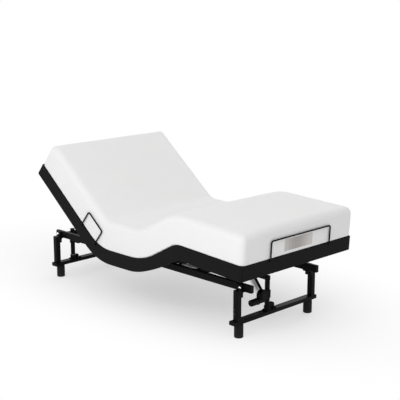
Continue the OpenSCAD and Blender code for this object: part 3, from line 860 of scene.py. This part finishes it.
def soften(flat, normal, inset):
    # crown on top, fullness at the sides and the faint unevenness of foam under a cover
    half = (mattressHigh[0] - mattressLow[0]) / 2
    over = flat[:, 2] - mattressLow[2]
    level = np.clip(over / (mattressHigh[2] - mattressLow[2]), 0, 1)
    rim = np.clip(1 - inset / mattress["corner"], 0, 1)
    wave = sum(ripple(flat, size, seed) * share for size, seed, share in mattress["waves"])
    wave *= mattress["wave"]
    out = flat.copy()

    ends = mattress["bulgeEnds"]
    bulge = mattress["bulge"] * np.sin(level * math.pi) * (ends + (1 - ends) * np.abs(normal[:, 0]))
    seam = sum(ridge(over, height, mattress["seamWidth"]) for height in mattress["seams"])
    out[:, :2] += normal * ((bulge + wave * level - seam * mattress["seamDepth"]) * rim)[:, None]

    thin = np.interp(flat[:, 1], mattress["thinAt"], mattress["thinBy"])
    drop = np.where(flat[:, 0] < 0, *mattress["cornerDrops"])
    drop = drop * np.exp(-(flat[:, 1] / mattress["cornerReach"]) ** 2) * np.abs(flat[:, 0] / half) ** 3
    toEnd = np.minimum(flat[:, 1], deckLine.length - flat[:, 1])
    crown = np.clip(toEnd / mattress["crownEnds"], 0, 1) * np.clip(1 - (flat[:, 0] / half) ** 4, 0, 1)
    out[:, 2] -= level * (thin + drop)
    out[:, 2] += level ** 3 * (crown * mattress["crown"] + wave * mattress["waveTop"])
    return out


def makeMattress():
    edge = mattress["topEdge"]
    seams = seamLines(mattressLow[2], mattress["seams"], mattress["seamWidth"], (-2, -1, 0, 1, 2))
    xs = spread(mattressLow[0], mattressHigh[0], edge, mattress["crossSteps"])
    ss = spread(mattressLow[1], mattressHigh[1], edge, mattress["lengthSteps"])
    hs = spread(mattressLow[2], mattressHigh[2], edge, mattress["heightSteps"], seams)
    points, faces = gridBox(xs, ss, hs)
    flat, normal, inset = roundBox(points, mattressLow, mattressHigh, mattress["corner"], edge,
                                   mattress["bottomEdge"])
    for piece in cutSections("mattress", "_mattress", soften(flat, normal, inset), faces,
                             "mattress_fabric", kneeReach=mattress["kneeReach"]):
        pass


makeMattress()
print("mattress made")


# Label on the mattress's foot face: a thin band with a raised hem, left plain
label = {
    "sides": (-0.137, 0.108),
    "heights": (0.066, 0.135),
    "thick": 0.0009,
    "hem": 0.004,
    "middle": 0.75,  # share of the hem's thickness
    "standOff": 0.0001,
    "steps": (0.001, 0.006),
}


def makeLabel():
    us = spread(*label["sides"], label["hem"], label["steps"])
    hs = spread(*label["heights"], label["hem"], label["steps"])
    onFace = []
    lifts = []
    for layer in (0, 1):
        for h in hs:
            for u in us:
                rim = min(u - us[0], us[-1] - u, h - hs[0], hs[-1] - h)
                lift = label["thick"] * (1.0 if rim < label["hem"] else label["middle"])
                onFace.append((u, mattressLow[1], h))
                lifts.append(label["standOff"] + (lift if layer and rim > merge else 0.0))
    faces = []
    count = len(us)
    for layer in (0, 1):
        for k in range(len(hs) - 1):
            for i in range(count - 1):
                a = (layer * len(hs) + k) * count + i
                face = [a, a + 1, a + count + 1, a + count]
                faces.append(face if layer else face[::-1])
    normal = np.tile([0.0, -1.0], (len(onFace), 1))
    moved = soften(np.array(onFace), normal, np.zeros(len(onFace)))
    moved[:, 1] -= lifts
    obj = meshFrom("mattressLabel", deckLine.bend(moved), faces)
    bm = bmesh.new()
    bm.from_mesh(obj.data)
    bmesh.ops.remove_doubles(bm, verts=bm.verts, dist=merge)
    bm.to_mesh(obj.data)
    bm.free()
    dress(obj, "label_fabric")
    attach(obj, "calf")
    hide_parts("mattress_label")


makeLabel()
print("label made")


def tubeFaces(faces, first, rings, count, closed):
    # quads from ring to ring, and a cap on each end that is open
    for row in range(rings if closed else rings - 1):
        near = first + row * count
        far = first + (row + 1) % rings * count
        for k in range(count):
            after = (k + 1) % count
            faces.append([near + k, near + after, far + after, far + k])
    if not closed:
        last = first + (rings - 1) * count
        faces.append([first + k for k in range(count)][::-1])
        faces.append([last + k for k in range(count)])


# Button-head screws with a hexagon socket; the outline is (radius, distance from the seat),
# both as shares of the head's
screw = {
    "head": 0.006,
    "radius": 0.007,
    "shank": 0.003,
    "outline": ((1, 0), (1, 0.35), (0.95, 0.6), (0.82, 0.82), (0.64, 0.95), (0.5, 1)),
    "socket": 0.36,
    "socketDepth": 0.55,
    "steps": 48,
}
gear = {
    "screws": 4,
    "ring": 0.029,
    "disc": 0.034,  # from the housing's top to the gear's axle
    "boss": 0.040,  # from its outer end to the axle
    "flat": 0.016,  # from its middle to either flat side
    "scale": 0.55,
    "shank": 0.004,
}


def addScrew(points, faces, seat, out, across, scale, shankLength):
    # seat is the middle of the head's underside, out the axis that points away from it
    out = np.array(out, float)
    across = np.array(across, float)
    turn = np.cross(out, across)
    count = screw["steps"]
    angles = np.arange(count) * 2 * math.pi / count
    hexagon = math.cos(math.pi / 6) / np.cos(angles % (math.pi / 3) - math.pi / 6)
    even = np.ones(count)
    size = screw["radius"] * scale
    tall = screw["head"] * scale
    shank = even * screw["shank"] * scale
    socket = hexagon * size * screw["socket"]
    rings = [(shank, -shankLength), (shank, 0.0)]
    rings += [(even * size * radius, tall * height) for radius, height in screw["outline"]]
    rings += [(socket, tall), (socket, tall * (1 - screw["socketDepth"]))]
    first = len(points)
    for radii, height in rings:
        for radius, angle in zip(radii, angles):
            around = math.cos(angle) * across + math.sin(angle) * turn
            points.append(seat + out * height + radius * around)
    tubeFaces(faces, first, len(rings), count, closed=False)


def makePostScrews():
    points = []
    faces = []
    for low, high in solidsOf("glide_screws"):
        way = 1.0 if low[0] > 0 else -1.0
        length = high[0] - low[0]
        seat = (low + high) / 2 + np.array([way * (length / 2 - screw["head"]), 0, 0])
        addScrew(points, faces, seat, (way, 0, 0), (0, 1, 0), 1.0, length - screw["head"])
    obj = meshFrom("postScrews", points, faces)
    dress(obj, "dark_screw")
    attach(obj, "chassis")
    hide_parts("glide_screws")


def makeGearScrews(end, atLeft, body):
    # small screws in a ring on both flats of a gear housing
    low, high = boxOf(end + "_lift_gearbox")
    tubeLow, tubeHigh = boxOf(end + "_lift_tube")
    centre = np.array([low[0] + gear["boss"] if atLeft else high[0] - gear["boss"],
                       (tubeLow[1] + tubeHigh[1]) / 2, high[2] - gear["disc"]])
    points = []
    faces = []
    for way in (-1, 1):
        for k in range(gear["screws"]):
            angle = math.pi / 4 + k * 2 * math.pi / gear["screws"]
            seat = centre + gear["ring"] * np.array([math.cos(angle), 0, math.sin(angle)])
            seat[1] += way * gear["flat"]
            addScrew(points, faces, seat, (0, way, 0), (1, 0, 0), gear["scale"], gear["shank"])
    obj = meshFrom(end + "GearScrews", points, faces)
    dress(obj, "dark_screw")
    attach(obj, body)


makePostScrews()
makeGearScrews("foot", True, "foot_leg")
makeGearScrews("head", False, "chassis")
print("screws made")


# Weld beads where crossbars and post brackets meet the rails
weld = {
    "radius": 0.0021,
    "ripple": 0.0042,
    "height": 0.16,
    "step": 0.0012,
    "sides": 8,
    "taper": 0.4,
    "inset": 0.003,  # from a bracket's ends
}


def addBead(points, faces, path, closed):
    # a rippled tube along straight stretches that lie in one plane across X
    path = [np.array(p, float) for p in path]
    stops = path + path[:1] if closed else path
    marks = []
    for a, b in zip(stops, stops[1:]):
        size = np.linalg.norm(b - a)
        steps = max(2, round(size / weld["step"]))
        marks += [(a + (b - a) * i / steps, (b - a) / size) for i in range(steps)]
    if not closed:
        marks.append((stops[-1], marks[-1][1]))
    first = len(points)
    upright = np.array([1.0, 0.0, 0.0])
    for i, (place, along) in enumerate(marks):
        swell = math.sin(2 * math.pi * i * weld["step"] / weld["ripple"])
        radius = weld["radius"] * (1 + weld["height"] * swell)
        if not closed and i in (0, len(marks) - 1):
            radius *= weld["taper"]
        side = np.cross(along, upright)
        for k in range(weld["sides"]):
            angle = 2 * math.pi * k / weld["sides"]
            points.append(place + radius * (math.cos(angle) * side + math.sin(angle) * upright))
    tubeFaces(faces, first, len(marks), weld["sides"], closed)


def makeWelds():
    points = []
    faces = []
    for low, high in solidsOf("crossbars") + solidsOf("head_crossbar"):
        for x in (low[0], high[0]):
            loop = [(x, low[1], low[2]), (x, high[1], low[2]),
                    (x, high[1], high[2]), (x, low[1], high[2])]
            addBead(points, faces, loop, closed=True)
    railOut = boxOf("side_rails")[1][0]
    for low, high in solidsOf("post_brackets"):
        x = railOut if low[0] > 0 else -railOut
        path = [(x, low[1] + weld["inset"], high[2]), (x, high[1] - weld["inset"], high[2])]
        addBead(points, faces, path, closed=False)
    obj = meshFrom("railWelds", points, faces)
    dress(obj, "black_steel")
    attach(obj, "chassis")


makeWelds()
print("welds made")


# White floor that keeps a shadow near the bed and turns plain white further out
ground = {
    "reach": 90,
    "tone": 0.92,
    "cool": 0.004,
    "lift": 0.45,  # share of plain white close to the bed
    "fadeStart": 0.56,
    "fadeEnd": 2.42,
    "fadeMiddle": (0.205, 0.27),
    "fadeNarrow": 2.05,
}
plainWhite = grey(1.0)


def makeFloor():
    reach = ground["reach"]
    corners = [(-reach, -reach, 0), (reach, -reach, 0), (reach, reach, 0), (-reach, reach, 0)]
    floor = meshFrom("floor", corners, [[0, 1, 2, 3]])
    f = Finish("floorWhite", Base_Color=grey(ground["tone"], -ground["cool"]),
               Specular_IOR_Level=0.0, Roughness=1.0)
    glow = f.add("ShaderNodeEmission", Color=plainWhite, Strength=1.0)
    u, v = f.axes()[:2]
    across = (u - ground["fadeMiddle"][0]) * ground["fadeNarrow"]
    along = v - ground["fadeMiddle"][1]
    distance = (across * across + along * along) ** 0.5
    far = f.add("ShaderNodeMapRange", {"interpolation_type": "SMOOTHSTEP"}, Value=distance,
                i1=ground["fadeStart"], i2=ground["fadeEnd"], i3=ground["lift"], i4=1.0)
    matt = Wire(f.tree, f.shader.outputs[0])
    both = f.add("ShaderNodeMixShader", i0=f.seenRays() * far, i1=matt, i2=glow)
    f.feed(f.tree.nodes["Material Output"].inputs["Surface"], both)
    floor.data.materials.append(f.material)
    return floor


def paintSky():
    world = bpy.data.worlds.new("sky")
    world.use_nodes = True
    scene.world = world
    sky = Nodes(world.node_tree)
    soft = world.node_tree.nodes["Background"]
    sky.feed(soft.inputs["Color"], plainWhite)
    sky.feed(soft.inputs["Strength"], light["sky"])
    white = sky.add("ShaderNodeBackground", Color=plainWhite, Strength=1.0)
    dim = Wire(sky.tree, soft.outputs[0])
    both = sky.add("ShaderNodeMixShader", i0=sky.seenRays(), i1=dim, i2=white)
    sky.feed(world.node_tree.nodes["World Output"].inputs["Surface"], both)


floor = makeFloor()
paintSky()
print("floor and backdrop made")
